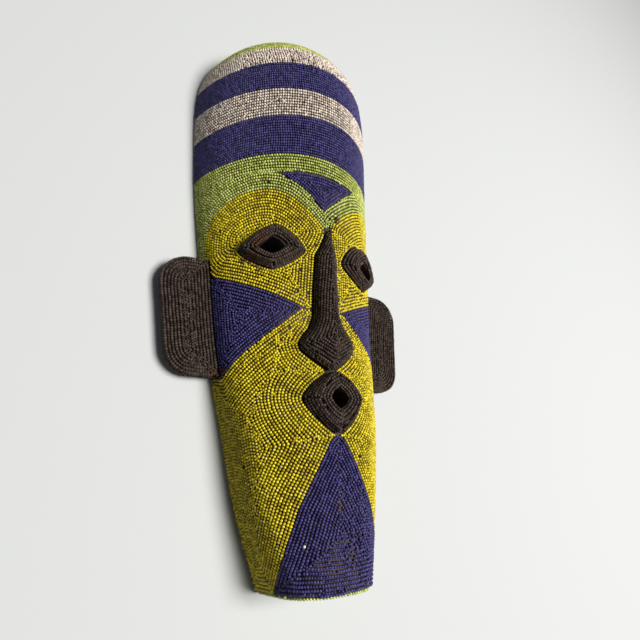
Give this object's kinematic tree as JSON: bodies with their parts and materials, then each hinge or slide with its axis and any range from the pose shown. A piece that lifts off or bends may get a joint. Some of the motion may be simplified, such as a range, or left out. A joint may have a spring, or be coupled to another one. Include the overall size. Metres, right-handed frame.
{
  "type": "beaded wooden mask",
  "caption": "Long carved wooden face mask with raised eye rims, nose, mouth and flat ears, covered all over in strings of coloured glass seed beads; hollow behind, lying on its flat back rim.",
  "frame": {"origin": "middle of the bounding box, on the plane of the flat back rim", "axes": "+X to the right across the face as it is looked at, +Y towards the crown, +Z out of the face, away from the back rim"},
  "size_m": [0.1728, 0.3619, 0.0636],
  "materials": {
    "carved_wood": "carved brown wood, dull, plainer behind, with brown glue where it shows between the beads",
    "green_glass_beads": "glossy opaque glass seed beads, pea green",
    "white_glass_beads": "glossy opaque glass seed beads, slightly pink white",
    "blue_glass_beads": "glossy glass seed beads, navy blue",
    "yellow_glass_beads": "glossy opaque glass seed beads, yellow",
    "black_glass_beads": "glossy opaque glass seed beads, black"
  },
  "bodies": {
    "root": {"wooden_mask": "carved_wood", "beads_black_nose": "black_glass_beads", "beads_black_mouth": "black_glass_beads", "beads_black_eye_left": "black_glass_beads", "beads_black_eye_right": "black_glass_beads", "beads_black_ear_left": "black_glass_beads", "beads_black_ear_right": "black_glass_beads", "beads_green_crown_rim": "green_glass_beads", "beads_white_band_upper": "white_glass_beads", "beads_blue_band_upper": "blue_glass_beads", "beads_white_band_lower": "white_glass_beads", "beads_blue_band_lower": "blue_glass_beads", "beads_green_brow": "green_glass_beads", "beads_blue_forehead_triangle": "blue_glass_beads", "beads_yellow_eye_field_left": "yellow_glass_beads", "beads_blue_cheek_triangle_left": "blue_glass_beads", "beads_yellow_cheek_left": "yellow_glass_beads", "beads_yellow_eye_field_right": "yellow_glass_beads", "beads_blue_cheek_triangle_right": "blue_glass_beads", "beads_yellow_cheek_right": "yellow_glass_beads", "beads_blue_chin": "blue_glass_beads", "beads_green_chin_end": "green_glass_beads"}
  },
  "joints": []
}
